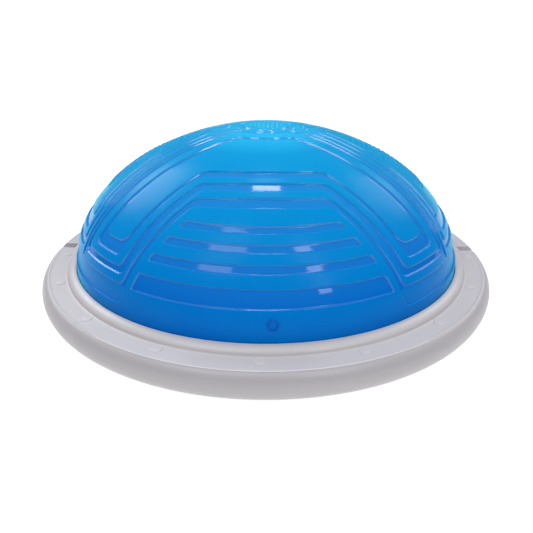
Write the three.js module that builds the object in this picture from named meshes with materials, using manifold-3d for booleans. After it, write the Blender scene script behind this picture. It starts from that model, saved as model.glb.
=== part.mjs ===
// Balance dome trainer: a half ball of PVC clamped by a ring to a round platform, held up by rubber pads.
// Millimetres, +Z up. The origin is the centre of the footprint, on the floor. The valve faces -Y.
import * as THREE from 'three';
import { mergeVertices } from 'three/addons/utils/BufferGeometryUtils.js';
import Module from 'manifold-3d';

const wasm = await Module();
wasm.setup();

// Driving dimensions
const OUTER_RADIUS = 320;        // widest point of the ring
const HEIGHT = 228;              // floor to crown
const SEGMENTS = 48;             // facets round every large turned piece
const GAP = 0.3;                 // clearance between pieces that touch
const UNDERSIDE = 2;             // height of the ring's and the platform's lower edge
const DOME_RADIUS = 271;         // dome where it leaves the ring
const DOME_FOOT = 49;            // height where the dome starts to curve in
const DOME_POWER = 1.9;          // exponent of the dome's superelliptic section
const SKIN = 4;                  // thickness of the dome's PVC
const FLANGE_RADIUS = 281;       // clamped flange at the dome's foot
const FLANGE_TOP = 22;
const FLANGE_THICKNESS = 4;
const FLOOR_SHEET = 3;           // sheet welded under the dome
const LAND_HEIGHT = 40;          // flat top of the ring
const COLLAR_RADIUS = 284.7;     // foot of the rounded collar
const COLLAR_TOP = 48.6;
const WALL = 3.6;                // wall of the moulded ring
const WIDEST_HEIGHT = 22;        // height of the ring's widest point
const PLATE_RADIUS = 301.4;
const PLATE = 4;                 // thickness of the platform's plate
const RIB = 3;                   // thickness of the platform's ribs
const SCREW_CIRCLE = 294.3;
const SCREW_ANGLES = [0, 22.5, 45, 67.5, 86.5, 112.5, 135, 157.5];
const SHANK_RADIUS = 2;
const SCREW_LENGTH = 22;
const SCREW_HEAD_RADIUS = 4.4;
const SCREW_HEAD = 2.8;
const SCREW_SEAT = 9;            // height that the screw heads bear on
const POST_RADIUS = 6;
const POST_FOOT = 18;            // height where the ring's posts meet the platform's
const BOSS_RADIUS = 6.5;         // shallow round boss on the land above each screw
const BOSS_HEIGHT = 0.8;
const NOTCH_ANGLE = 93;          // band notch, from the front
const NOTCH_WIDTH = 17;
const NOTCH_ROOT = 291.5;        // inner end of the notch
const PIN_RADIUS = 3;
const PIN_CIRCLE = 305;
const PIN_HEIGHT = 14;
const PAD_COUNT = 8;
const PAD_RADIUS = 20;
const PAD_CIRCLE = 255;
const PAD_THICKNESS = 3;
const VALVE_ANGLE = 2.8;
const VALVE_HEIGHT = 69;
const SEAT_RADIUS = 8;
const SEAT_DEPTH = 14;
const PLUG_HEAD_RADIUS = 5.2;
const PLUG_RADIUS = 4;
const PLUG_LENGTH = 12;

const radians = THREE.MathUtils.degToRad;

// Materials
const plastic = (name, color, roughness) =>
  new THREE.MeshStandardMaterial({ name, color, roughness, metalness: 0 });
const bluePvc = plastic('blue_pvc', 0x0a82d8, 0.28);
const blueRubber = plastic('blue_rubber', 0x0a70c4, 0.4);
const greyPlastic = plastic('grey_plastic', 0xbcbac4, 0.45);
const blackRubber = plastic('black_rubber', 0x1c1d20, 0.8);
const steel = new THREE.MeshStandardMaterial({ name: 'steel', color: 0xb4b6ba, roughness: 0.35, metalness: 1 });

// Geometry helpers
const arc = (centreR, centreZ, radiusR, radiusZ, from, to, steps) =>
  Array.from({ length: steps + 1 }, (_, i) => {
    const angle = radians(from + ((to - from) * i) / steps);
    return [centreR + radiusR * Math.cos(angle), centreZ + radiusZ * Math.sin(angle)];
  });

const positionsOnly = (geometry) => {
  const bare = geometry.clone();
  bare.deleteAttribute('normal');
  bare.deleteAttribute('uv');
  return mergeVertices(bare, 1e-4);
};

// Turned solid from a list of [radius, height] points, counterclockwise round the section.
const turned = (profile, segments = SEGMENTS) => {
  const points = profile.map(([r, z]) => new THREE.Vector2(r, z));
  const geometry = new THREE.LatheGeometry(points, segments);
  geometry.rotateX(Math.PI / 2);
  return geometry;
};
const closed = (profile) => [...profile, profile[0]];

const solid = (geometry) => {
  const merged = positionsOnly(geometry);
  const mesh = new wasm.Mesh({
    numProp: 3,
    vertProperties: new Float32Array(merged.attributes.position.array),
    triVerts: new Uint32Array(merged.index.array),
  });
  return new wasm.Manifold(mesh);
};

const geometryOf = (manifold) => {
  const mesh = manifold.getMesh();
  const geometry = new THREE.BufferGeometry();
  geometry.setAttribute('position', new THREE.BufferAttribute(new Float32Array(mesh.vertProperties), 3));
  geometry.setIndex(new THREE.BufferAttribute(new Uint32Array(mesh.triVerts), 1));
  return geometry;
};

// Moves a geometry to a radius and an angle counted from the front, towards +X.
const atAngle = (geometry, radius, angle, height = 0) => {
  geometry.rotateZ(radians(angle));
  geometry.translate(radius * Math.sin(radians(angle)), -radius * Math.cos(radians(angle)), height);
  return geometry;
};

const cylinder = (radius, low, high, segments = 8) => {
  const geometry = new THREE.CylinderGeometry(radius, radius, high - low, segments);
  geometry.rotateX(Math.PI / 2);
  geometry.translate(0, 0, (low + high) / 2);
  return geometry;
};

// Block across the rim at a band notch, from one radius to another.
const radialBlock = (width, inner, outer, low, high, angle) => {
  const geometry = new THREE.BoxGeometry(width, outer - inner, high - low);
  return atAngle(geometry, (inner + outer) / 2, angle, (low + high) / 2);
};

const unite = (first, others) => others.reduce((sum, next) => sum.add(solid(next)), first);
const cut = (first, others) => others.reduce((rest, next) => rest.subtract(solid(next)), first);

const allScrewAngles = SCREW_ANGLES.flatMap((angle) => (angle === 0 ? [0, 180] : [angle, -angle]));
const notchAngles = [NOTCH_ANGLE, -NOTCH_ANGLE];

// The dome's section
const domeHeight = (radius, base, foot, top) =>
  foot + (top - foot) * (1 - (radius / base) ** DOME_POWER) ** (1 / DOME_POWER);

const domeCurve = (base, foot, top, steps) =>
  Array.from({ length: steps }, (_, i) => {
    const radius = base * Math.sin(radians((90 * i) / steps));
    return [radius, domeHeight(radius, base, foot, top)];
  });

// The valve sits square to the wall of the dome.
const valveFrame = () => {
  const rise = (VALVE_HEIGHT - DOME_FOOT) / (HEIGHT - DOME_FOOT);
  const reach = (1 - rise ** DOME_POWER) ** (1 / DOME_POWER);
  const radius = DOME_RADIUS * reach;
  const tilt = Math.atan(
    ((rise / reach) ** (DOME_POWER - 1)) * (DOME_RADIUS / (HEIGHT - DOME_FOOT)),
  );
  return { radius, tilt };
};

const placeAtValve = (geometry) => {
  const { radius, tilt } = valveFrame();
  geometry.rotateX(Math.PI / 2 - tilt);
  return atAngle(geometry, radius, VALVE_ANGLE, VALVE_HEIGHT);
};

// Pieces
const domeSkin = () => {
  const flangeFoot = FLANGE_TOP - FLANGE_THICKNESS;
  const inner = DOME_RADIUS - SKIN;
  const profile = [
    [0, HEIGHT - SKIN],
    ...domeCurve(inner, DOME_FOOT, HEIGHT - SKIN, 9).slice(1),
    [inner, DOME_FOOT],
    [inner, flangeFoot],
    [FLANGE_RADIUS, flangeFoot],
    [FLANGE_RADIUS, FLANGE_TOP],
    [DOME_RADIUS, FLANGE_TOP],
    [DOME_RADIUS, DOME_FOOT],
    ...domeCurve(DOME_RADIUS, DOME_FOOT, HEIGHT, 12).slice(1).reverse(),
    [0, HEIGHT],
  ];
  const hole = placeAtValve(cylinder(SEAT_RADIUS + GAP, -SEAT_DEPTH, SEAT_DEPTH, 16));
  return geometryOf(cut(solid(turned(profile)), [hole]));
};

const bladderFloor = () => {
  const top = FLANGE_TOP - FLANGE_THICKNESS - GAP;
  const low = top - FLOOR_SHEET;
  return positionsOnly(turned([[0, low], [FLANGE_RADIUS, low], [FLANGE_RADIUS, top], [0, top]]));
};

// Outside of the ring from its lower lip, over the widest point, to the collar's top.
const ringOutside = () => [
  ...arc(304, WIDEST_HEIGHT, OUTER_RADIUS - 304, WIDEST_HEIGHT - UNDERSIDE, -84, 0, 5),
  ...arc(308, WIDEST_HEIGHT, OUTER_RADIUS - 308, LAND_HEIGHT - WIDEST_HEIGHT, 0, 78, 4).slice(1),
  [309.6, LAND_HEIGHT + 0.5],
  [307.6, LAND_HEIGHT],
  [COLLAR_RADIUS, LAND_HEIGHT],
  ...arc(DOME_RADIUS + 2, LAND_HEIGHT, COLLAR_RADIUS - DOME_RADIUS - 2, COLLAR_TOP - LAND_HEIGHT, 20, 90, 3),
];

const ringInside = () => [
  [COLLAR_RADIUS - WALL, LAND_HEIGHT - WALL],
  [306, LAND_HEIGHT - WALL],
  ...arc(304, WIDEST_HEIGHT, OUTER_RADIUS - WALL - 304, WIDEST_HEIGHT - UNDERSIDE, 40, -90, 4).slice(1, -1),
];

const clampRing = () => {
  const bore = DOME_RADIUS + 2 * GAP;
  const clampFoot = FLANGE_TOP + GAP;
  const bottomInner = PLATE_RADIUS + 2 * GAP;
  const inside = [
    [bottomInner, UNDERSIDE],
    ...ringInside().reverse(),
    [bore + WALL + 1, COLLAR_TOP - 2 * WALL + 1],
    [bore + WALL + 1, clampFoot],
    [bore, clampFoot],
    [bore, COLLAR_TOP - 1.5],
  ];
  const profile = closed([...ringOutside(), ...inside.reverse()]);
  const liningInner = NOTCH_ROOT - WALL;
  const envelope = solid(turned(closed([
    ...ringOutside(),
    [bore, COLLAR_TOP - 1.5],
    [bore, clampFoot],
    [liningInner - 1, clampFoot],
    [liningInner - 1, UNDERSIDE],
  ])));
  const linings = notchAngles.map((angle) => {
    const block = radialBlock(NOTCH_WIDTH + 2 * WALL, liningInner, OUTER_RADIUS, UNDERSIDE, LAND_HEIGHT, angle);
    return solid(block).intersect(envelope);
  });
  const posts = allScrewAngles.map((angle) =>
    atAngle(cylinder(POST_RADIUS, POST_FOOT + GAP, LAND_HEIGHT - 1), SCREW_CIRCLE, angle));
  const bosses = allScrewAngles.map((angle) => {
    const dome = new THREE.CylinderGeometry(BOSS_RADIUS - 3, BOSS_RADIUS, BOSS_HEIGHT + 1, 10);
    dome.rotateX(Math.PI / 2);
    return atAngle(dome, SCREW_CIRCLE, angle, LAND_HEIGHT + (BOSS_HEIGHT - 1) / 2);
  });
  const pilots = allScrewAngles.map((angle) =>
    atAngle(cylinder(SHANK_RADIUS + 0.2, POST_FOOT - 2, SCREW_SEAT + SCREW_LENGTH + 1), SCREW_CIRCLE, angle));
  const notches = notchAngles.map((angle) =>
    radialBlock(NOTCH_WIDTH, NOTCH_ROOT, OUTER_RADIUS + 10, -1, COLLAR_TOP + 5, angle));
  const pinHoles = notchAngles.map((angle) => pinGeometry(angle, PIN_RADIUS + GAP, GAP));
  const lined = linings.reduce((sum, next) => sum.add(next), solid(turned(profile)));
  const raised = unite(lined, [...posts, ...bosses]);
  return geometryOf(cut(raised, [...pilots, ...notches, ...pinHoles]));
};

// Pin across a band notch, let into both of its cheeks.
const pinGeometry = (angle, radius, extra = 0) => {
  const geometry = new THREE.CylinderGeometry(radius, radius, NOTCH_WIDTH + 5 + 2 * extra, 12);
  geometry.rotateZ(Math.PI / 2);
  return atAngle(geometry, PIN_CIRCLE, angle, PIN_HEIGHT);
};

const basePlatform = () => {
  const plateTop = UNDERSIDE + PLATE;
  const ribTop = FLANGE_TOP - FLANGE_THICKNESS - FLOOR_SHEET - 2 * GAP;
  const ribRadii = [278, 190, 100];
  const comb = ribRadii.flatMap((radius) => [
    [radius, plateTop],
    [radius, ribTop],
    [radius - RIB, ribTop],
    [radius - RIB, plateTop],
  ]);
  const profile = [[0, UNDERSIDE], [PLATE_RADIUS, UNDERSIDE], [PLATE_RADIUS, plateTop], ...comb, [0, plateTop]];
  const spokes = Array.from({ length: 8 }, (_, i) => {
    const spoke = new THREE.BoxGeometry(RIB, ribRadii[0] - ribRadii[2], ribTop - plateTop + 1);
    return atAngle(spoke, (ribRadii[0] + ribRadii[2]) / 2 - 1, 45 * i, (ribTop + plateTop - 1) / 2);
  });
  const posts = allScrewAngles.map((angle) =>
    atAngle(cylinder(POST_RADIUS + 1, UNDERSIDE + 1, POST_FOOT), SCREW_CIRCLE, angle));
  const shafts = allScrewAngles.map((angle) =>
    atAngle(cylinder(SHANK_RADIUS + 0.4, 0, POST_FOOT + 2), SCREW_CIRCLE, angle));
  const sinks = allScrewAngles.map((angle) =>
    atAngle(cylinder(SCREW_HEAD_RADIUS + 0.8, 0, SCREW_SEAT, 10), SCREW_CIRCLE, angle));
  const padPockets = padAngles().map((angle) =>
    atAngle(cylinder(PAD_RADIUS + GAP, 0, PAD_THICKNESS + GAP, 20), PAD_CIRCLE, angle));
  const notches = notchAngles.map((angle) =>
    radialBlock(NOTCH_WIDTH + 2 * WALL + 2, NOTCH_ROOT - WALL - 1, OUTER_RADIUS, -1, POST_FOOT + 5, angle));
  const ribbed = unite(solid(turned(profile)), [...spokes, ...posts]);
  return geometryOf(cut(ribbed, [...shafts, ...sinks, ...padPockets, ...notches]));
};

const screw = (angle) => {
  const head = SCREW_SEAT - GAP;
  const tip = head + SCREW_LENGTH;
  const profile = [
    [0, head - SCREW_HEAD],
    [SCREW_HEAD_RADIUS * 0.7, head - SCREW_HEAD],
    [SCREW_HEAD_RADIUS, head - SCREW_HEAD * 0.5],
    [SCREW_HEAD_RADIUS, head],
    [SHANK_RADIUS, head],
    [SHANK_RADIUS, tip - 3],
    [0, tip],
  ];
  const slots = [0, 90].map((turn) => {
    const slot = new THREE.BoxGeometry(SCREW_HEAD_RADIUS * 1.1, 1, 2.4);
    slot.rotateZ(radians(turn));
    slot.translate(0, 0, head - SCREW_HEAD);
    return slot;
  });
  const driven = cut(solid(turned(profile, 10)), slots);
  return atAngle(geometryOf(driven), SCREW_CIRCLE, angle);
};

const padAngles = () => Array.from({ length: PAD_COUNT }, (_, i) => (360 / PAD_COUNT) * (i + 0.5));

const antiSlipPad = (angle) => {
  const profile = [
    [0, 0],
    [PAD_RADIUS - 1, 0],
    [PAD_RADIUS, 1],
    [PAD_RADIUS, PAD_THICKNESS],
    [0, PAD_THICKNESS],
  ];
  return atAngle(positionsOnly(turned(profile, 20)), PAD_CIRCLE, angle);
};

// Socket moulded into the wall: flush outside, a collar and a lip behind the skin.
const valveSeat = () => {
  const bore = PLUG_RADIUS + GAP;
  const profile = closed([
    [bore, -SEAT_DEPTH],
    [SEAT_RADIUS, -SEAT_DEPTH],
    [SEAT_RADIUS, 0],
    [PLUG_HEAD_RADIUS + GAP, 0],
    [PLUG_HEAD_RADIUS + GAP, -2.4],
    [bore, -2.4],
  ]);
  return placeAtValve(positionsOnly(turned(profile, 16)));
};

const valvePlug = () => {
  const profile = [
    [0, -PLUG_LENGTH],
    [PLUG_RADIUS - 1.2, -PLUG_LENGTH],
    [PLUG_RADIUS, -PLUG_LENGTH + 4],
    [PLUG_RADIUS, -2.1],
    [PLUG_HEAD_RADIUS, -2.1],
    [PLUG_HEAD_RADIUS, -0.4],
    [PLUG_HEAD_RADIUS - 0.6, 0],
    [0, 0],
  ];
  return placeAtValve(positionsOnly(turned(profile, 16)));
};

const piece = (name, geometry, material) => {
  const mesh = new THREE.Mesh(geometry, material);
  mesh.name = name;
  return mesh;
};

const trainer = new THREE.Group();
const bladder = new THREE.Group();
bladder.add(
  piece('dome_skin', domeSkin(), bluePvc),
  piece('bladder_floor', bladderFloor(), bluePvc),
  piece('valve_seat', valveSeat(), blueRubber),
  piece('valve_plug', valvePlug(), blueRubber),
);
const base = new THREE.Group();
base.add(piece('clamp_ring', clampRing(), greyPlastic), piece('base_platform', basePlatform(), greyPlastic));
allScrewAngles.forEach((angle, i) => base.add(piece(`clamp_screw_${i + 1}`, screw(angle), steel)));
padAngles().forEach((angle, i) => base.add(piece(`anti_slip_pad_${i + 1}`, antiSlipPad(angle), blackRubber)));
['right', 'left'].forEach((side, i) =>
  base.add(piece(`band_pin_${side}`, pinGeometry(notchAngles[i], PIN_RADIUS), steel)));
trainer.add(bladder, base);

export default trainer;
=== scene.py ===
"""Looks for the balance dome trainer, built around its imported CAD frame."""

import math

import bmesh
import bpy
import numpy as np
from mathutils import Matrix, Vector
from mathutils.geometry import delaunay_2d_cdt


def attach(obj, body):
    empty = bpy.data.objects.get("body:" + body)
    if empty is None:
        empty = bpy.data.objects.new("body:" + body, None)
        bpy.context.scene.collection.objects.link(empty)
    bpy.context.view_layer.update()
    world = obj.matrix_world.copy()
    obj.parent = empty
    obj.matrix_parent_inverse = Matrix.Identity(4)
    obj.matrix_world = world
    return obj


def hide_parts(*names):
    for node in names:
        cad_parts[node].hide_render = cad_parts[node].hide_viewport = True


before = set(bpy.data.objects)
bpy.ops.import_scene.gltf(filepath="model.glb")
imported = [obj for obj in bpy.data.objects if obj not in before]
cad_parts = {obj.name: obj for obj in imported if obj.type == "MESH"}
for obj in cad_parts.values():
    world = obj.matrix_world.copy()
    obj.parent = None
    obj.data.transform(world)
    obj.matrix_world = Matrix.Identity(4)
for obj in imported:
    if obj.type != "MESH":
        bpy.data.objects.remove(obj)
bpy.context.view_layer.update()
MM = 0.001

# Dome section, in millimetres: a superellipse over the clamped foot.
DOME_RADIUS = 271.0
DOME_FOOT = 49.0
DOME_TOP = 228.0
DOME_POWER = 1.9
SKIN = 4.0
FLANGE_RADIUS = 281.0
FLANGE_TOP = 22.0
FLANGE_BOTTOM = 18.0

# Relief of the dome, drawn on its unrolled surface. The distance from the crown is kept, x runs to the
# side and y to the front, and one quarter stands for all four.
GROOVE_DEPTH = 2.0
WALL_HALF = 0.85  # half the width of a groove's sloping wall
WALL_STEPS = (-2.2, -1.0, -0.6, 0.0, 0.6, 1.0, 2.2)  # lines of points along a wall, in half widths
LEG_POINT = (170.0, 165.0)  # on the line that the legs of the X follow
UPPER_TILT = math.radians(29.5)
LOWER_TILT = math.radians(33.3)
ARCHES = 5
ARCH_INNER = (67.0, 61.0, 45.0, 39.0, 36.0, 30.0)
ARCH_OUTER = (141.5, 151.5, 162.0, 174.0, 185.5, 199.5)
ARCH_BEND = (0.0013, 0.0013, 0.0012, 0.0010, 0.0009, 0.0007)
ARCH_UPPER = (25.5, 33.0, 49.0, 56.0, 60.0)
ARCH_LOWER = (23.5, 28.3, 40.0, 51.0, 57.0, 64.0)
ARCH_END = (269.0, 286.0, 297.0, 305.0, 316.0, 340.0)
SIDE_LINE = (100.0, 94.0, 83.0, 76.0, 67.0)
SIDE_INNER = (73.0, 67.0, 55.0, 49.0, 37.0)
SIDE_END = (269.0, 286.0, 297.0, 305.0, 316.0)
SLOTS = ((224.0, 233.0), (246.5, 256.0), (270.0, 279.5), (296.0, 317.0))
SLOT_END = 75.0  # gap between a slot's end and the leg's line
PANEL_CORNER = 14.0
BAND_CORNER = 8.0
BEND_CORNER = 5.0
SLOT_CORNER = 2.6
GLOSS_FOOT = 318.0  # distance from the crown beyond which the relief isn't glossy
WALL_SHARE = (0.04, 0.96)  # shares of the groove's depth between which a face belongs to a wall

# Dots that stand in for the embossed marks: radius of each ring of points and its share of the height.
DOT_RINGS = ((2.3, 0.0), (1.6, 0.75), (0.0, 1.0))
DOT_SIDES = 10
DOT_HEIGHT = 1.0
DOT_CLEAR = 0.6
CROWN_PITCH = 6.0
CROWN_REACH = 25.0
SIDE_PITCH = 8.0
SIDE_MARGIN = 8.0
SIDE_START = 104.0
SIDE_COLUMNS = 17
SIDE_ROWS = 5

# Mesh resolution.
FIELD_STEP = 1.0
FILL_STEP = 5.0
INNER_STEP = 14.0
ROW_RATIO = 0.87
RIM_SHARE = 0.6  # of the step, kept free of points along the rim
AXIS_SHARE = 0.4  # of the step, kept free of points beside an axis
QUARTER_SIDES = 96
LINE_STEP = 0.5
CONTOUR_STEP = 4.2
CORNER_DENSITY = 2.4
WALL_CLEAR = 1.4

# Valve, seen in the dome's front.
VALVE_ANGLE = math.radians(2.8)
VALVE_HEIGHT = 69.0
VALVE_HOLE = 7.9
VALVE_SIDES = 32
VALVE_RINGS = (0.0, 1.2)  # rings of points round the hole, by their distance from its edge
VALVE_CLEAR = 3.0
TOLERANCE = 0.05

# Clamp ring.
RING_SIDES = 480
RING_LOW = 2.0
WIDEST = 22.0
SCREW_CIRCLE = 294.3
SCREW_ANGLES = (0.0, 22.5, 45.0, 67.5, 86.5, 112.5, 135.0, 157.5)
LAND = 40.0
CLAMP_RADIUS = 271.6
BOSS_SIDES = 28
NOTCH_ANGLE = 93.0
NOTCH_WIDTH = 17.0
NOTCH_ROOT = 291.5
NOTCH_CORNER = 1.6
SOFT_ZONE = (35.5, 38.5)  # degrees from the front between which the ridge turns from soft to crisp

# Colours and light.
# The crown's paler, more cyan blue is a painted sheen.
PAINTED_CROWN_SHEEN = (0.02, 0.50, 0.86)
PAINTED_SHADE_HEIGHTS = (55.0, 215.0)  # heights between which the skin turns from its low to its high colour: painted shade, darker lower down
PAINTED_SHEEN_HEIGHTS = (212.0, 228.0)  # heights between which it turns to the crown's painted sheen
PAINTED_WALL_SHADE = (6.0, 32.0)  # heights between which the ring's outer wall darkens upwards, a painted shade
WALL_TOP = (38.4, 39.9)  # heights between which the wall's colour gives way to the land's
PAPER = ((0.22, 0.22, 0.22), (0.25, 0.25, 0.25))
PAPER_GLOW = 0.88
GLOW_START = (0.3022, 0.3062)  # metres from the centre; inside it the paper doesn't glow, so a thin dark line, partly real shadow and partly painted shadow, stays at the foot
FLOOR_HALF = 40.0
SKY = (0.04, 0.72)  # strength of the surroundings at the horizon and overhead
BACKDROP = 1.05
LIGHT_TARGET = Vector((0.0, 0.0, 0.12))

# Camera.
CAMERA_DISTANCE = 0.88699
CAMERA_ELEVATION = math.radians(25.590)
CAMERA_AZIMUTH = math.radians(1.218)
CAMERA_LENS = 39.05
CAMERA_SHIFT = (0.0012, 0.0159)


# ---------------------------------------------------------------- dome section


def dome_section():
    """Radius, height and arc length from the crown, sampled finely."""
    t = np.linspace(0.0, math.pi / 2, 6001)
    r = DOME_RADIUS * np.sin(t)
    share = np.clip(r / DOME_RADIUS, 0.0, 1.0)
    z = DOME_FOOT + (DOME_TOP - DOME_FOOT) * (1.0 - share**DOME_POWER) ** (1.0 / DOME_POWER)
    s = np.concatenate([[0.0], np.cumsum(np.hypot(np.diff(r), np.diff(z)))])
    return r, z, s


SECTION_R, SECTION_Z, SECTION_S = dome_section()
REACH = float(SECTION_S[-1])
VALVE_S = float(np.interp(-VALVE_HEIGHT, -SECTION_Z, SECTION_S))
VALVE_STRETCH = VALVE_S / float(np.interp(VALVE_S, SECTION_S, SECTION_R))


def on_dome(points, height):
    """Points of the unrolled surface, raised by height along the surface normal, in millimetres."""
    x, y = points[:, 0], points[:, 1]
    s = np.hypot(x, y)
    angle = np.arctan2(x, y)
    r = np.interp(s, SECTION_S, SECTION_R)
    z = np.interp(s, SECTION_S, SECTION_Z)
    step = 0.4
    low, high = np.clip(s - step, 0.0, REACH), np.clip(s + step, 0.0, REACH)
    dr = np.interp(high, SECTION_S, SECTION_R) - np.interp(low, SECTION_S, SECTION_R)
    dz = np.interp(high, SECTION_S, SECTION_Z) - np.interp(low, SECTION_S, SECTION_Z)
    size = np.hypot(dr, dz)
    out_r, out_z = -dz / size, dr / size
    out_r = np.where(s < step, 0.0, out_r)
    radius = r + out_r * height
    return np.column_stack([radius * np.sin(angle), -radius * np.cos(angle), z + out_z * height])


# ---------------------------------------------------------------- relief fields


def meet(a, b, corner):
    """Both a and b inside, with the corner rounded. Positive is inside."""
    nearest = np.minimum(a, b)
    rounded = corner - np.hypot(np.maximum(corner - a, 0.0), np.maximum(corner - b, 0.0))
    return np.where(nearest < corner, rounded, nearest)


def either(a, b, corner):
    """A or b inside, with the inner corner rounded."""
    return -meet(-a, -b, corner)


def across(x, y, tilt):
    """Distance from the leg's line, towards the front."""
    return -(x - LEG_POINT[0]) * math.sin(tilt) + (y - LEG_POINT[1]) * math.cos(tilt)


def below_arch(x, y, k):
    """Inside the outer edge of arch k: over the front panel, or down its leg."""
    bend = ARCH_OUTER[k] + ARCH_BEND[k] * x * x - np.hypot(x, y)
    return either(bend, ARCH_LOWER[k] - across(x, y, LOWER_TILT), BEND_CORNER)


def arch(x, y, k):
    """Arch k, from the crown down both legs."""
    s = np.hypot(x, y)
    corner = PANEL_CORNER if k == 0 else BAND_CORNER
    top = meet(s - ARCH_INNER[k], across(x, y, UPPER_TILT) + ARCH_UPPER[k], BAND_CORNER)
    return meet(meet(top, below_arch(x, y, k), corner), ARCH_END[k] - s, corner)


def outer_frame(x, y):
    """Everything between the crown patch, the front panel and the skirt."""
    s = np.hypot(x, y)
    top = meet(s - ARCH_INNER[ARCHES], below_arch(x, y, ARCHES), BAND_CORNER)
    return meet(top, ARCH_END[ARCHES] - s, BAND_CORNER)


def side(x, y, k):
    """Ring k of the side panel."""
    s = np.hypot(x, y)
    top = meet(-SIDE_LINE[k] - across(x, y, UPPER_TILT), s - SIDE_INNER[k], BEND_CORNER)
    return meet(top, SIDE_END[k] - s, BEND_CORNER)


def slot(x, y, k):
    """Slot k of the front panel."""
    s = np.hypot(x, y)
    near, far = SLOTS[k]
    ends = across(x, y, LOWER_TILT) - SLOT_END
    return meet(meet(s - near, far - s, SLOT_CORNER), ends, SLOT_CORNER)


def fields(x, y):
    """Every edge of the relief as a signed distance."""
    made = [arch(x, y, k) for k in range(ARCHES)]
    made.append(outer_frame(x, y))
    made += [side(x, y, k) for k in range(len(SIDE_LINE))]
    made += [slot(x, y, k) for k in range(len(SLOTS))]
    return np.array(made)


def level(x, y):
    """Height of the relief away from its walls: 0 on the raised faces, -1 in the grooves."""
    f = fields(x, y)
    a, frame_edge = f[:ARCHES], f[ARCHES]
    s, slots = f[ARCHES + 1 : -len(SLOTS)], f[-len(SLOTS) :]
    sunk = ((a[0] < 0) & (a[1] > 0)) | ((a[2] < 0) & (a[3] > 0))
    sunk |= ((s[0] < 0) & (s[1] > 0)) | ((s[2] < 0) & (s[3] > 0))
    sunk |= (frame_edge > 0) & (a[4] < 0) & (s[4] < 0)
    sunk |= (slots > 0).any(axis=0)
    return -sunk.astype(float)


# ---------------------------------------------------------------- contours


def crossing_links(field, grid):
    """Zero crossings of a gridded field, as points and the pairs of them that share a triangle."""
    inside = field > 0
    mixed = inside[:-1, :-1] != inside[1:, 1:]
    mixed |= inside[:-1, :-1] != inside[1:, :-1]
    mixed |= inside[:-1, :-1] != inside[:-1, 1:]
    points, links = {}, {}
    for i, j in zip(*np.nonzero(mixed)):
        a, b, c, d = (i, j), (i + 1, j), (i + 1, j + 1), (i, j + 1)
        for triangle in ((a, b, c), (a, d, c)):
            pairs = ((triangle[0], triangle[1]), (triangle[1], triangle[2]), (triangle[0], triangle[2]))
            cut = [tuple(sorted(p)) for p in pairs if inside[p[0]] != inside[p[1]]]
            if len(cut) != 2:
                continue
            for p, q in cut:
                t = field[p] / (field[p] - field[q])
                points[(p, q)] = (
                    grid[p[0]] + (grid[q[0]] - grid[p[0]]) * t,
                    grid[p[1]] + (grid[q[1]] - grid[p[1]]) * t,
                )
            links.setdefault(cut[0], []).append(cut[1])
            links.setdefault(cut[1], []).append(cut[0])
    return points, links


def contours(field, grid):
    """The field's zero lines as chains of points, open chains from their ends."""
    points, links = crossing_links(field, grid)
    left = set(links)
    chains = []
    for start in sorted(links, key=lambda k: (len(links[k]), k)):
        if start not in left:
            continue
        chain = [start]
        left.discard(start)
        while True:
            following = [k for k in links[chain[-1]] if k in left]
            if not following:
                break
            chain.append(following[0])
            left.discard(following[0])
        closed = len(chain) > 2 and chain[0] in links[chain[-1]]
        line = np.array([points[k] for k in chain] + ([points[chain[0]]] if closed else []))
        if len(line) > 8:
            chains.append((line, closed))
    return chains


def resample(line, closed):
    """Even steps on straight runs, shorter ones round corners."""
    keep = np.concatenate([[True], np.hypot(*np.diff(line, axis=0).T) > 0.25])
    keep[-1] = True
    line = line[keep]
    steps = np.hypot(*np.diff(line, axis=0).T)
    along = np.concatenate([[0.0], np.cumsum(steps)])
    even = np.arange(0.0, along[-1], LINE_STEP)
    x, y = np.interp(even, along, line[:, 0]), np.interp(even, along, line[:, 1])
    width = 7
    kernel = np.ones(width) / width
    heading = np.unwrap(np.arctan2(np.gradient(y), np.gradient(x)))
    padded = np.pad(heading, width // 2, mode="edge")
    turning = np.abs(np.gradient(np.convolve(padded, kernel, "valid"), even))
    turning = np.convolve(np.pad(turning, width // 2, mode="edge"), kernel, "valid")
    density = 1.0 / CONTOUR_STEP + CORNER_DENSITY * turning
    load = np.concatenate([[0.0], np.cumsum((density[1:] + density[:-1]) / 2 * np.diff(even))])
    count = max(4, int(round(load[-1])))
    at = np.interp(np.linspace(0.0, load[-1], count + 1), load, even)
    at[-1] = along[-1]
    made = np.column_stack([np.interp(at, along, line[:, 0]), np.interp(at, along, line[:, 1])])
    return made[:-1] if closed else made


def slope_at(k, points):
    """Unit direction in which field k grows."""
    h = 0.3
    x, y = points[:, 0], points[:, 1]
    gx = fields(x + h, y)[k] - fields(x - h, y)[k]
    gy = fields(x, y + h)[k] - fields(x, y - h)[k]
    size = np.maximum(np.hypot(gx, gy), 1e-9)
    return np.column_stack([gx / size, gy / size])


def smooth(t):
    t = np.clip(t, 0.0, 1.0)
    return t * t * (3.0 - 2.0 * t)


class Plane:
    """Points, heights and edges on the unrolled quarter."""

    def __init__(self):
        self.points, self.heights, self.edges = [], [], []

    def add(self, points, heights):
        start = len(self.points)
        self.points += [tuple(p) for p in points]
        self.heights += list(heights)
        return start

    def chain(self, start, count, closed):
        self.edges += [(start + i, start + i + 1) for i in range(count - 1)]
        if closed:
            self.edges.append((start + count - 1, start))


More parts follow.
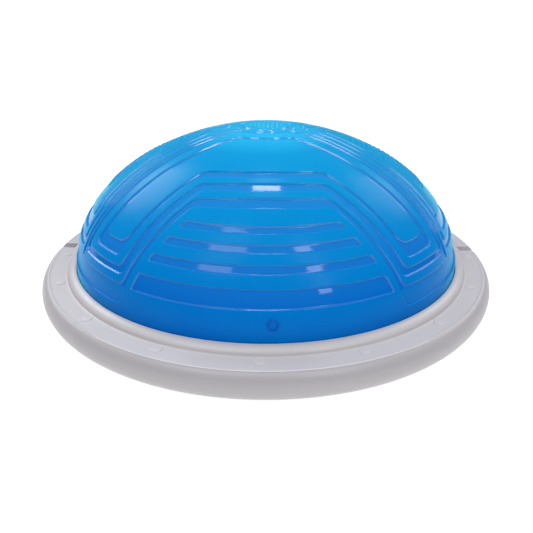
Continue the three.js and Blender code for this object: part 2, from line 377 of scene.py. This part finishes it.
def add_walls(plane):
    """Lines of points along each edge of the relief, from one level to the other."""
    grid = np.arange(-3.0, REACH + 4.0, FIELD_STEP)
    gx, gy = np.meshgrid(grid, grid, indexing="ij")
    every = fields(gx, gy)
    for k in range(len(every)):
        for line, closed in contours(every[k], grid):
            inside = (line[:, 0] > -0.01) & (line[:, 1] > -0.01)
            if not inside.any():
                continue
            line = quarter_part(line)
            base = resample(line, closed=False)
            for end in (0, -1):
                base[end][np.argmin(base[end])] = 0.0
            grow = slope_at(k, base)
            for end in (0, -1):
                axis = int(np.argmin(base[end]))
                grow[end] = (1.0, 0.0) if axis == 1 else (0.0, 1.0)
                grow[end] *= np.sign(slope_at(k, base[[end]])[0] @ grow[end])
            reach = WALL_HALF + 0.5
            high, low = base + grow * reach, base - grow * reach
            up, down = level(high[:, 0], high[:, 1]), level(low[:, 0], low[:, 1])
            for t in WALL_STEPS:
                share = smooth((t + 1.0) / 2.0)
                points = base + grow * (t * WALL_HALF)
                height = (up * share + down * (1.0 - share)) * GROOVE_DEPTH
                start = plane.add(points, height)
                plane.chain(start, len(points), closed=False)


def quarter_part(line):
    """The stretch of a line inside the quarter, cut where it crosses an axis."""
    inside = (line[:, 0] >= 0.0) & (line[:, 1] >= 0.0)
    first, last = np.nonzero(inside)[0][[0, -1]]
    kept = list(line[first : last + 1])

    def crossing(a, b):
        for axis in (0, 1):
            if a[axis] < 0.0:
                t = a[axis] / (a[axis] - b[axis])
                point = a + (b - a) * t
                point[axis] = 0.0
                return point
        return a

    if first > 0:
        kept.insert(0, crossing(line[first - 1], line[first]))
    if last + 1 < len(line):
        kept.append(crossing(line[last + 1], line[last]))
    return np.array(kept)


def valve_ellipse():
    """The valve's hole on the unrolled surface, which is wider there than it is on the dome."""
    radial = np.array([math.sin(VALVE_ANGLE), math.cos(VALVE_ANGLE)])
    sideways = np.array([radial[1], -radial[0]])
    turn = np.arange(VALVE_SIDES) * 2.0 * math.pi / VALVE_SIDES
    rim = np.outer(np.cos(turn) * VALVE_STRETCH, sideways) + np.outer(np.sin(turn), radial)
    return radial * VALVE_S, rim


def in_valve(points, reach):
    """Which points of the unrolled surface lie within reach of the valve's centre."""
    centre, _ = valve_ellipse()
    offset = points - centre
    return np.hypot(offset[:, 0] / VALVE_STRETCH, offset[:, 1]) < reach


def dot_centres():
    """Centres of the dots: a grid on the crown, rows on the side panels."""
    centres = []
    crown_rows = int(CROWN_REACH / CROWN_PITCH) + 1
    for i in range(crown_rows):
        for j in range(crown_rows):
            x, y = (i + 0.5) * CROWN_PITCH, (j + 0.5) * CROWN_PITCH
            if math.hypot(x, y) < CROWN_REACH:
                centres.append((x, y))
    for i in range(SIDE_COLUMNS):
        for j in range(SIDE_ROWS):
            x, y = SIDE_START + i * SIDE_PITCH, (j + 0.5) * SIDE_PITCH
            if side(np.array(x), np.array(y), 0) > SIDE_MARGIN:
                centres.append((x, y))
    return np.array(centres)


def ground(points):
    """Height of the relief in millimetres away from walls and dots."""
    return level(points[:, 0], points[:, 1]) * GROOVE_DEPTH


def add_dots(plane, centres):
    """Domed dots: pressed in on the crown, raised on the side panels."""
    for centre in centres:
        base = float(ground(centre[None])[0])
        rise = -DOT_HEIGHT if np.hypot(*centre) < CROWN_REACH else DOT_HEIGHT
        for radius, share in DOT_RINGS:
            count = DOT_SIDES if radius else 1
            turn = np.arange(count) * 2.0 * math.pi / count
            points = centre + radius * np.column_stack([np.cos(turn), np.sin(turn)])
            start = plane.add(points, np.full(count, base + share * rise))
            if radius:
                plane.chain(start, count, closed=True)


def fill(step):
    """A staggered grid over the quarter, with points on both axes and no others close to them."""
    points = []
    for row in range(int(REACH / (step * ROW_RATIO)) + 1):
        y = row * step * ROW_RATIO
        for column in range(int(REACH / step) + 1):
            x = (column + 0.5 * (row % 2)) * step
            if math.hypot(x, y) < REACH - step * RIM_SHARE:
                points.append((x, y))
    points = np.array(points)
    near_axis = (points[:, 0] > 0) & (points[:, 0] < step * AXIS_SHARE)
    axis = np.arange(step, REACH - step * RIM_SHARE, step)
    on_y = np.column_stack([np.zeros(len(axis)), axis])
    points = points[~near_axis & (points[:, 0] > 0) & (points[:, 1] > 0)]
    return np.vstack([[[0.0, 0.0]], on_y, on_y[:, ::-1], points])


def rim_points():
    """Points along the quarter's outer edge."""
    turn = np.arange(QUARTER_SIDES + 1) * (math.pi / 2) / QUARTER_SIDES
    points = REACH * np.column_stack([np.sin(turn), np.cos(turn)])
    points[0, 0] = points[-1, 1] = 0.0
    return points


def quarter_sheet(detailed):
    """One quarter of the skin as points on the unrolled surface, heights and triangles."""
    plane = Plane()
    centre, rim = valve_ellipse()
    step = FILL_STEP if detailed else INNER_STEP
    loose = fill(step)
    if detailed:
        add_walls(plane)
        dots = dot_centres()
        add_dots(plane, dots)
        to_walls = np.abs(fields(loose[:, 0], loose[:, 1])).min(axis=0)
        to_dots = np.hypot(*(loose[:, None] - dots[None]).transpose(2, 0, 1)).min(axis=1)
        clear = to_walls > WALL_HALF * WALL_STEPS[-1] + WALL_CLEAR
        loose = loose[clear & (to_dots > DOT_RINGS[0][0] + DOT_CLEAR)]
    loose = loose[~in_valve(loose, VALVE_HOLE + VALVE_CLEAR)]
    plane.add(loose, ground(loose) if detailed else np.zeros(len(loose)))
    for beyond in VALVE_RINGS:
        start = plane.add(centre + rim * (VALVE_HOLE + beyond), np.zeros(VALVE_SIDES))
        plane.chain(start, VALVE_SIDES, closed=True)
    ends = rim_points()
    start = plane.add(ends, np.zeros(len(ends)))
    plane.chain(start, len(ends), closed=False)
    flat = [Vector(p) for p in plane.points]
    verts, _, faces, origins, _, _ = delaunay_2d_cdt(flat, plane.edges, [], 0, 1e-4)
    points = np.array([tuple(v) for v in verts])
    heights = np.array([plane.heights[o[0]] if o else 0.0 for o in origins])
    new = np.array([not o for o in origins])
    if new.any():
        heights[new] = ground(points[new]) if detailed else 0.0
    return points, heights, np.array([f[:] for f in faces if len(f) == 3])


def whole_sheet(detailed, offset):
    """Four mirrored quarters on the dome, with the valve's hole open in the front right one."""
    points, heights, faces = quarter_sheet(detailed)
    middles = points[faces].mean(axis=1)
    plug = in_valve(middles, VALVE_HOLE - TOLERANCE)
    corners = points[faces]
    turned = np.cross(corners[:, 1] - corners[:, 0], corners[:, 2] - corners[:, 0])
    faces = np.where((turned < 0)[:, None], faces, faces[:, ::-1])
    verts, tris, sunk = [], [], []
    for sx, sy in ((1, 1), (-1, 1), (1, -1), (-1, -1)):
        kept = faces[~plug] if (sx, sy) == (1, 1) else faces
        kept = kept if sx * sy > 0 else kept[:, ::-1]
        tris.append(kept + len(points) * len(verts))
        verts.append(on_dome(points * (sx, sy), heights + offset))
        sunk.append(-heights / GROOVE_DEPTH)
    return np.vstack(verts), np.vstack(tris), np.concatenate(sunk)


def new_object(name, verts, faces):
    """A mesh object from points in millimetres."""
    mesh = bpy.data.meshes.new(name)
    corners = [tuple(v) for v in np.asarray(verts) * MM]
    mesh.from_pydata(corners, [], [tuple(int(i) for i in face) for face in faces])
    mesh.update()
    made = bpy.data.objects.new(name, mesh)
    bpy.context.scene.collection.objects.link(made)
    return made


def lathe_rows(rows, angles):
    """Quads between rings of points; rows are (radius, height) in millimetres."""
    count = len(angles)
    verts = [(r * math.sin(a), -r * math.cos(a), z) for r, z in rows for a in angles]
    faces = []
    for row in range(len(rows) - 1):
        for i in range(count):
            j = (i + 1) % count
            a, b = row * count + i, row * count + j
            faces.append((a, a + count, b + count, b))
    return np.array(verts), np.array(faces)


def tidy_mesh(obj, merge, sharp):
    """Merges doubled points, turns faces outwards and shades smooth up to the sharp angle."""
    bm = bmesh.new()
    bm.from_mesh(obj.data)
    bmesh.ops.remove_doubles(bm, verts=bm.verts, dist=merge * MM)
    bmesh.ops.recalc_face_normals(bm, faces=bm.faces)
    bm.to_mesh(obj.data)
    bm.free()
    obj.data.polygons.foreach_set("use_smooth", [True] * len(obj.data.polygons))
    obj.data.set_sharp_from_angle(angle=math.radians(sharp))
    obj.data.update()


def dome_cover():
    """The moulded skin: relief outside, smooth inside, joined by the flange and the valve's hole."""
    outer, outer_faces, sunk = whole_sheet(True, 0.0)
    inner, inner_faces, _ = whole_sheet(False, -SKIN)
    angles = [i * math.pi / 2 / QUARTER_SIDES for i in range(4 * QUARTER_SIDES)]
    inside = DOME_RADIUS - SKIN
    rows = [(DOME_RADIUS, DOME_FOOT), (DOME_RADIUS, 40.0), (DOME_RADIUS, 30.0)]
    rows += [(DOME_RADIUS, FLANGE_TOP + 1.4), (DOME_RADIUS + 0.2, FLANGE_TOP + 0.6)]
    rows += [(DOME_RADIUS + 0.9, FLANGE_TOP)]
    rows += [(FLANGE_RADIUS, FLANGE_TOP), (FLANGE_RADIUS, FLANGE_BOTTOM), (inside, FLANGE_BOTTOM)]
    rows += [(inside, 30.0), (inside, 40.0), (inside, DOME_FOOT)]
    band, band_faces = lathe_rows(rows, angles)
    centre, rim = valve_ellipse()
    edge = centre + rim * VALVE_HOLE
    wall = np.vstack([on_dome(edge, np.zeros(VALVE_SIDES)), on_dome(edge, np.full(VALVE_SIDES, -SKIN))])
    wall_faces = []
    for i in range(VALVE_SIDES):
        j = (i + 1) % VALVE_SIDES
        wall_faces.append((i, j, j + VALVE_SIDES, i + VALVE_SIDES))
    parts = ((outer, outer_faces), (inner, inner_faces[:, ::-1]), (band, band_faces), (wall, wall_faces))
    verts, faces, total = [], [], 0
    for part, part_faces in parts:
        faces += [tuple(int(i) + total for i in f) for f in part_faces]
        verts.append(part)
        total += len(part)
    made = new_object("dome_cover", np.vstack(verts), faces)
    attribute = made.data.attributes.new("relief", "FLOAT", "POINT")
    values = np.zeros(total, np.float32)
    values[: len(sunk)] = np.clip(sunk, 0.0, 1.0)
    attribute.data.foreach_set("value", values)
    tidy_mesh(made, 0.01, 50.0)
    return made


# ---------------------------------------------------------------- clamp ring


def arc(centre, radii, start, end, count):
    """Points of an elliptic arc, between two angles in degrees."""
    turn = np.radians(np.linspace(start, end, count))
    return [(centre[0] + radii[0] * math.cos(t), centre[1] + radii[1] * math.sin(t)) for t in turn]


def ring_section(soft):
    """Outline of the ring, in radius and height. Soft is 0 for a crisp ridge, 1 for a round shoulder."""
    ridge = 0.8 - 0.6 * soft
    points = [(302.2, RING_LOW), (303.2, RING_LOW)]
    points += arc((304.0, WIDEST), (16.0, WIDEST - RING_LOW), -84.0, 0.0, 13)
    points += arc((308.0 + 0.8 * soft, WIDEST), (12.0 - 0.8 * soft, 18.0 - 0.4 * soft), 6.0, 76.0, 14)
    points += [(310.6 + soft, 40.2 - 0.5 * soft), (310.1 + soft, LAND + ridge - 0.1 * soft)]
    points += [(309.5, LAND + ridge), (308.9, LAND + ridge), (308.3, LAND + 0.6 * ridge)]
    points += [(307.7, LAND + 0.15 * ridge), (307.0, LAND)]
    points += [(radius, LAND) for radius in (304.0, 299.0, 294.0, 289.0, 286.4)]
    points += [(285.4, 40.2), (284.8, 40.8), (284.5, 41.7)]
    points += arc((273.0, 40.0), (11.7, 8.6), 16.0, 90.0, 15)
    points += [(272.4, 48.5), (271.9, 48.2), (271.65, 47.6), (CLAMP_RADIUS, 46.8)]
    points += [(CLAMP_RADIUS, 35.0), (CLAMP_RADIUS, 23.0), (282.0, 23.0), (282.0, 19.0), (302.2, 19.0)]
    return points


def boss():
    """A shallow button with a rounded rim, as rows of radius and height over the land."""
    return [(6.6, -1.0), (6.6, 0.1), (6.52, 0.35), (6.3, 0.6), (5.95, 0.78), (5.4, 0.86)]


def turned_solid(name, rows, sides):
    """A solid of revolution, closed by a flat face at each end."""
    angles = [i * 2.0 * math.pi / sides for i in range(sides)]
    verts, faces = lathe_rows(rows, angles)
    faces = [tuple(f) for f in faces]
    faces.append(tuple(range(sides)))
    faces.append(tuple(range(len(verts) - sides, len(verts))))
    return new_object(name, verts, faces)


def combine(obj, other, operation):
    """Joins the other solid to obj or cuts it out, and removes it."""
    modifier = obj.modifiers.new("combine", "BOOLEAN")
    modifier.operation = operation
    modifier.solver = "EXACT"
    modifier.object = other
    bpy.context.view_layer.update()
    evaluated = obj.evaluated_get(bpy.context.evaluated_depsgraph_get())
    result = bpy.data.meshes.new_from_object(evaluated)
    obj.modifiers.remove(modifier)
    obj.data = result
    bpy.data.objects.remove(other)


def screw_angles():
    """One side's screws, the same mirrored, and the one opposite the front."""
    mirrored = [-a for a in SCREW_ANGLES if a > 0.0]
    return [*SCREW_ANGLES, *mirrored, 180.0]


def ring_body():
    """The grey outer ring, swept round with a softer shoulder across the front."""
    verts = []
    for i in range(RING_SIDES):
        angle = i * 2.0 * math.pi / RING_SIDES
        off_front = abs(math.degrees(math.atan2(math.sin(angle), math.cos(angle))))
        soft = float(1.0 - smooth((off_front - SOFT_ZONE[0]) / (SOFT_ZONE[1] - SOFT_ZONE[0])))
        verts += [(r * math.sin(angle), -r * math.cos(angle), z) for r, z in ring_section(soft)]
    count = len(ring_section(0.0))
    faces = []
    for i in range(RING_SIDES):
        j = (i + 1) % RING_SIDES
        for k in range(count):
            m = (k + 1) % count
            faces.append((i * count + k, j * count + k, j * count + m, i * count + m))
    made = new_object("ring_body", verts, faces)
    tidy_mesh(made, 0.001, 35.0)
    buttons = []
    for degrees in screw_angles():
        button = turned_solid("button", boss(), BOSS_SIDES)
        turn = math.radians(degrees)
        where = Vector((SCREW_CIRCLE * math.sin(turn), -SCREW_CIRCLE * math.cos(turn), LAND)) * MM
        button.data.transform(Matrix.Translation(where))
        tidy_mesh(button, 0.001, 180.0)
        buttons.append(button)
    for button in buttons:
        combine(made, button, "UNION")
    for sign in (1.0, -1.0):
        turn = math.radians(sign * NOTCH_ANGLE)
        cutter = notch_cutter()
        cutter.data.transform(Matrix.Rotation(turn, 4, "Z"))
        combine(made, cutter, "DIFFERENCE")
    tidy_mesh(made, 0.001, 32.0)
    return made


def notch_cutter():
    """A block with rounded inner corners, along -Y, that opens a band notch."""
    half, radii = NOTCH_WIDTH / 2, (NOTCH_CORNER, NOTCH_CORNER)
    across_half, root = half - NOTCH_CORNER, NOTCH_ROOT + NOTCH_CORNER
    outline = [(-half, -330.0), (half, -330.0)]
    outline += [(x, -y) for x, y in arc((across_half, root), radii, 0.0, -90.0, 5)]
    outline += [(x, -y) for x, y in arc((-across_half, root), radii, -90.0, -180.0, 5)]
    count = len(outline)
    verts = [(x, y, z) for z in (-6.0, 60.0) for x, y in outline]
    faces = [tuple(range(count)), tuple(range(count, 2 * count))]
    faces += [(i, (i + 1) % count, (i + 1) % count + count, i + count) for i in range(count)]
    made = new_object("cutter", verts, faces)
    tidy_mesh(made, 0.001, 30.0)
    return made


# ---------------------------------------------------------------- materials


class Nodes:
    """A material's node tree, with short helpers."""

    def __init__(self, name):
        self.material = bpy.data.materials.new(name)
        self.material.use_nodes = True
        self.tree = self.material.node_tree
        self.tree.nodes.clear()
        self.output = self.add("ShaderNodeOutputMaterial")
        self.shader = self.add("ShaderNodeBsdfPrincipled")
        self.link(self.shader, "BSDF", self.output, "Surface")
        self.place = self.add("ShaderNodeTexCoord")

    def add(self, kind, **values):
        node = self.tree.nodes.new(kind)
        for key, value in values.items():
            setattr(node, key, value)
        return node

    def link(self, source, out, target, into):
        self.tree.links.new(source.outputs[out], target.inputs[into])

    def set(self, **values):
        for key, value in values.items():
            self.shader.inputs[key.replace("_", " ")].default_value = value

    def noise(self, scale, detail=4.0, roughness=0.55):
        node = self.add("ShaderNodeTexNoise")
        node.inputs["Scale"].default_value = scale
        node.inputs["Detail"].default_value = detail
        node.inputs["Roughness"].default_value = roughness
        self.link(self.place, "Object", node, "Vector")
        return node

    def spread(self, source, out, low, high, start=0.3, end=0.7):
        """A value turned from its range into low to high."""
        node = self.add("ShaderNodeMapRange")
        node.inputs["From Min"].default_value = start
        node.inputs["From Max"].default_value = end
        node.inputs["To Min"].default_value = low
        node.inputs["To Max"].default_value = high
        self.link(source, out, node, "Value")
        return node

    def mix(self, factor, out, first, second):
        """Two colours, or a colour node and a colour, mixed by a factor."""
        node = self.add("ShaderNodeMix", data_type="RGBA")
        self.link(factor, out, node, "Factor")
        for socket, value in ((6, first), (7, second)):
            if isinstance(value, tuple):
                node.inputs[socket].default_value = (*value, 1.0)
            else:
                self.tree.links.new(value.outputs[2], node.inputs[socket])
        return node

    def colour(self, node):
        self.tree.links.new(node.outputs[2], self.shader.inputs["Base Color"])

    def bump(self, source, out, strength, distance):
        node = self.add("ShaderNodeBump")
        node.inputs["Strength"].default_value = strength
        node.inputs["Distance"].default_value = distance * MM
        self.link(source, out, node, "Height")
        self.link(node, "Normal", self.shader, "Normal")
        return node


def height_factor(nodes, low, high):
    """0 at height low, 1 at height high, in millimetres."""
    split = nodes.add("ShaderNodeSeparateXYZ")
    nodes.link(nodes.place, "Object", split, "Vector")
    return nodes.spread(split, "Z", 0.0, 1.0, low * MM, high * MM)


def blue_pvc(name, low, high, cloudy, roughness, specular, grain):
    """Dipped PVC whose colour pales towards the crown: darker lower down as painted shade, cyan at the top
    as a painted sheen.
    """
    nodes = Nodes(name)
    painted_light_by_height = nodes.mix(height_factor(nodes, *PAINTED_SHADE_HEIGHTS), "Result", low, high)
    # Near the top the colour turns to the painted sheen.
    painted_light_by_height = nodes.mix(height_factor(nodes, *PAINTED_SHEEN_HEIGHTS), "Result", painted_light_by_height, PAINTED_CROWN_SHEEN)
    cloud = nodes.spread(nodes.noise(9.0, 3.0), "Fac", 0.0, 0.25)
    nodes.colour(nodes.mix(cloud, "Result", painted_light_by_height, cloudy))
    nodes.link(nodes.spread(nodes.noise(30.0), "Fac", *roughness), "Result", nodes.shader, "Roughness")
    nodes.set(IOR=1.5, Specular_IOR_Level=specular)
    nodes.set(Sheen_Weight=0.9, Sheen_Roughness=0.3, Sheen_Tint=(0.0, 0.75, 1.0, 1.0))
    nodes.bump(nodes.noise(900.0, 2.0), "Fac", grain, 0.12)
    return nodes.material


def blue_rubber():
    """The valve's soft rubber."""
    nodes = Nodes("blue_rubber_valve")
    cloud = nodes.spread(nodes.noise(60.0), "Fac", 0.0, 1.0)
    nodes.colour(nodes.mix(cloud, "Result", (0.0, 0.120, 0.50), (0.0, 0.135, 0.54)))
    nodes.link(nodes.spread(nodes.noise(160.0), "Fac", 0.35, 0.50), "Result", nodes.shader, "Roughness")
    nodes.set(Specular_IOR_Level=0.06)
    nodes.bump(nodes.noise(1400.0, 2.0), "Fac", 0.2, 0.15)
    return nodes.material


def grey_plastic(name, light, dark, wall, grain):
    """Moulded polypropylene: a fine grain and slight mottling, an outer wall darker towards its top as
    painted shade, and sharp edges paler as a painted highlight.
    """
    nodes = Nodes(name)
    cloud = nodes.spread(nodes.noise(7.0, 5.0), "Fac", 0.0, 1.0)
    face = nodes.mix(cloud, "Result", light, dark)
    # The outer wall darkens towards its top: painted shade.
    outer = nodes.mix(height_factor(nodes, *PAINTED_WALL_SHADE), "Result", dark, wall)
    mottled_with_wall_shade = nodes.mix(height_factor(nodes, *WALL_TOP), "Result", outer, face)
    # Paler sharp edges: a painted highlight along the ridge and the rims.
    edge = nodes.add("ShaderNodeNewGeometry")
    edge_highlight = nodes.spread(edge, "Pointiness", 0.0, 0.35, 0.505, 0.56)
    nodes.colour(nodes.mix(edge_highlight, "Result", mottled_with_wall_shade, (0.80, 0.80, 0.82)))
    nodes.link(nodes.spread(nodes.noise(40.0), "Fac", 0.34, 0.46), "Result", nodes.shader, "Roughness")
    nodes.set(IOR=1.49)
    nodes.bump(nodes.noise(grain, 2.0), "Fac", 0.16, 0.15)
    return nodes.material


def black_rubber():
    """Pads with a fine moulded ribbing."""
    nodes = Nodes("black_rubber_pad")
    cloud = nodes.spread(nodes.noise(50.0), "Fac", 0.0, 1.0)
    nodes.colour(nodes.mix(cloud, "Result", (0.012, 0.012, 0.013), (0.024, 0.024, 0.026)))
    nodes.link(nodes.spread(nodes.noise(90.0), "Fac", 0.62, 0.8), "Result", nodes.shader, "Roughness")
    rings = nodes.add("ShaderNodeTexWave", wave_type="BANDS")
    rings.inputs["Scale"].default_value = 180.0
    nodes.link(nodes.place, "Object", rings, "Vector")
    nodes.bump(rings, "Fac", 0.5, 0.4)
    return nodes.material


def steel():
    """Zinc-plated screws and pins."""
    nodes = Nodes("zinc_plated_steel")
    cloud = nodes.spread(nodes.noise(300.0), "Fac", 0.0, 1.0)
    nodes.colour(nodes.mix(cloud, "Result", (0.55, 0.55, 0.54), (0.66, 0.66, 0.66)))
    nodes.link(nodes.spread(nodes.noise(500.0), "Fac", 0.26, 0.42), "Result", nodes.shader, "Roughness")
    nodes.set(Metallic=1.0)
    nodes.bump(nodes.noise(1500.0, 2.0), "Fac", 0.1, 0.05)
    return nodes.material


def paint(obj, *materials):
    """Gives an object its materials, the first of them on every face."""
    obj.data.materials.clear()
    for material in materials:
        obj.data.materials.append(material)


def polish_grooves(cover):
    """Gives the grooves the second material and their walls the third, except in the lowest groove; their
    darker blues are painted shade.
    """
    mesh = cover.data
    foot = float(np.interp(GLOSS_FOOT, SECTION_S, SECTION_Z)) * MM
    sunk = np.zeros(len(mesh.vertices), np.float32)
    mesh.attributes["relief"].data.foreach_get("value", sunk)
    for face in mesh.polygons:
        share = sum(sunk[i] for i in face.vertices) / len(face.vertices)
        if face.center.z > foot and share > WALL_SHARE[0]:
            face.material_index = 2 if share < WALL_SHARE[1] else 1


def dress_node(name, material, bevel):
    """A CAD node's material, and small rounded edges."""
    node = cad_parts[name]
    if not node.data.materials:
        node.data.materials.append(material)
    for place in node.material_slots:
        place.link = "OBJECT"
        place.material = material
    if bevel:
        modifier = node.modifiers.new("rounded", "BEVEL")
        modifier.width = bevel * MM
        modifier.segments = 2
        modifier.limit_method = "ANGLE"
        modifier.angle_limit = math.radians(35.0)


# ---------------------------------------------------------------- studio


def floor():
    """Pale glowing paper, so that the studio's floor and horizon stay white."""
    corners = np.array(((-1.0, -1.0, 0.0), (1.0, -1.0, 0.0), (1.0, 1.0, 0.0), (-1.0, 1.0, 0.0)))
    made = new_object("floor", corners * FLOOR_HALF / MM, [(0, 1, 2, 3)])
    nodes = Nodes("floor_paper")
    cloud = nodes.spread(nodes.noise(1.5), "Fac", 0.0, 1.0)
    nodes.colour(nodes.mix(cloud, "Result", *PAPER))
    far = nodes.add("ShaderNodeVectorMath", operation="LENGTH")
    nodes.link(nodes.place, "Object", far, "Vector")
    # No glow under the ring's rim: a painted shadow line at its foot.
    glow = nodes.spread(far, "Value", 0.0, PAPER_GLOW, *GLOW_START)
    nodes.link(glow, "Result", nodes.shader, "Emission Strength")
    nodes.set(Roughness=0.9, Emission_Color=(1.0, 1.0, 1.0, 1.0))
    paint(made, nodes.material)


def softbox(name, azimuth, elevation, distance, width, height, power):
    """A soft area light aimed at the dome. Angles in degrees, sizes in metres, power in watts."""
    data = bpy.data.lights.new(name, "AREA")
    data.shape = "RECTANGLE"
    data.size, data.size_y = width, height
    data.energy = power
    light = bpy.data.objects.new(name, data)
    bpy.context.scene.collection.objects.link(light)
    a, e = math.radians(azimuth), math.radians(elevation)
    away = Vector((math.sin(a) * math.cos(e), -math.cos(a) * math.cos(e), math.sin(e)))
    light.location = LIGHT_TARGET + away * distance
    light.rotation_mode = "QUATERNION"
    light.rotation_quaternion = away.to_track_quat("Z", "Y")


def studio():
    """Five softboxes, a ceiling that dims to the horizon, and a backdrop that the camera sees as white."""
    world = bpy.data.worlds.new("studio")
    bpy.context.scene.world = world
    world.use_nodes = True
    tree = world.node_tree
    background = tree.nodes["Background"]
    background.inputs["Color"].default_value = (0.97, 0.98, 1.0, 1.0)
    seen = tree.nodes.new("ShaderNodeLightPath")
    towards = tree.nodes.new("ShaderNodeTexCoord")
    split = tree.nodes.new("ShaderNodeSeparateXYZ")
    sky = tree.nodes.new("ShaderNodeMapRange")
    sky.inputs["To Min"].default_value = SKY[0]
    sky.inputs["To Max"].default_value = SKY[1]
    strength = tree.nodes.new("ShaderNodeMapRange")
    strength.inputs["To Max"].default_value = BACKDROP
    tree.links.new(towards.outputs["Generated"], split.inputs["Vector"])
    tree.links.new(split.outputs["Z"], sky.inputs["Value"])
    tree.links.new(sky.outputs["Result"], strength.inputs["To Min"])
    tree.links.new(seen.outputs["Is Camera Ray"], strength.inputs["Value"])
    tree.links.new(strength.outputs["Result"], background.inputs["Strength"])
    softbox("overhead", 180.0, 74.0, 2.2, 0.40, 0.30, 7.0)
    softbox("back_left", -128.0, 35.0, 2.2, 0.9, 0.85, 16.0)
    softbox("back_right", 126.0, 35.0, 2.2, 0.8, 0.85, 9.0)
    softbox("front_left", -33.0, 53.5, 2.2, 0.66, 1.42, 13.0)
    softbox("front_right", 34.0, 42.0, 2.2, 0.28, 1.80, 13.0)
    bpy.context.scene.view_settings.view_transform = "Standard"


def camera():
    """The camera that took the photograph, as fitted to the ring, the crown and the relief."""
    data = bpy.data.cameras.new("camera")
    data.lens = CAMERA_LENS
    data.sensor_width = 36.0
    data.shift_x, data.shift_y = CAMERA_SHIFT
    made = bpy.data.objects.new("camera", data)
    bpy.context.scene.collection.objects.link(made)
    a, e = CAMERA_AZIMUTH, CAMERA_ELEVATION
    away = Vector((math.sin(a) * math.cos(e), -math.cos(a) * math.cos(e), math.sin(e)))
    made.location = away * CAMERA_DISTANCE
    made.rotation_mode = "QUATERNION"
    made.rotation_quaternion = away.to_track_quat("Z", "Y")
    bpy.context.scene.camera = made


# ---------------------------------------------------------------- assembly

camera()
studio()
floor()

# In each blue PVC, low is darker than high: painted shade towards the dome's foot.
pvc_satin = blue_pvc(
    "blue_pvc_satin",
    low=(0.0, 0.138, 0.56),
    high=(0.0, 0.29, 0.61),
    cloudy=(0.0, 0.22, 0.57),
    roughness=(0.22, 0.28),
    specular=0.04,
    grain=0.10,
)
# Grooves: polished, and a darker blue that is painted shade in the recesses.
pvc_gloss_shaded = blue_pvc(
    "blue_pvc_gloss",
    low=(0.0, 0.112, 0.55),
    high=(0.0, 0.26, 0.63),
    cloudy=(0.0, 0.16, 0.58),
    roughness=(0.06, 0.09),
    specular=0.22,
    grain=0.02,
)
# Groove walls: a blue between the faces' and the grooves', also painted shade.
pvc_edge_shaded = blue_pvc(
    "blue_pvc_edge",
    low=(0.0, 0.125, 0.56),
    high=(0.0, 0.28, 0.62),
    cloudy=(0.0, 0.18, 0.58),
    roughness=(0.07, 0.10),
    specular=0.6,
    grain=0.02,
)
rubber = blue_rubber()
# The wall colours are the painted shade on the outer walls.
ring_grey = grey_plastic(
    "grey_plastic_ring",
    light=(0.535, 0.515, 0.535),
    dark=(0.505, 0.485, 0.505),
    wall=(0.395, 0.375, 0.400),
    grain=1300.0,
)
base_grey = grey_plastic(
    "grey_plastic_base",
    light=(0.40, 0.40, 0.42),
    dark=(0.34, 0.34, 0.36),
    wall=(0.36, 0.36, 0.38),
    grain=800.0,
)
pad_black = black_rubber()
zinc = steel()

cover = dome_cover()
paint(cover, pvc_satin, pvc_gloss_shaded, pvc_edge_shaded)
polish_grooves(cover)
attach(cover, "trainer")
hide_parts("dome_skin")

ring = ring_body()
paint(ring, ring_grey)
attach(ring, "trainer")
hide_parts("clamp_ring")

# The CAD nodes shown as they are: how their names start, their material, and the bevel in millimetres.
NODE_LOOKS = (
    ("bladder_floor", pvc_satin, 0.0),
    ("valve_seat", rubber, 0.5),
    ("valve_plug", rubber, 0.5),
    ("base_platform", base_grey, 0.6),
    ("clamp_screw_", zinc, 0.3),
    ("anti_slip_pad_", pad_black, 0.6),
    ("band_pin_", zinc, 0.4),
)
for name in sorted(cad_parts):
    for start, material, bevel in NODE_LOOKS:
        if name.startswith(start):
            dress_node(name, material, bevel)
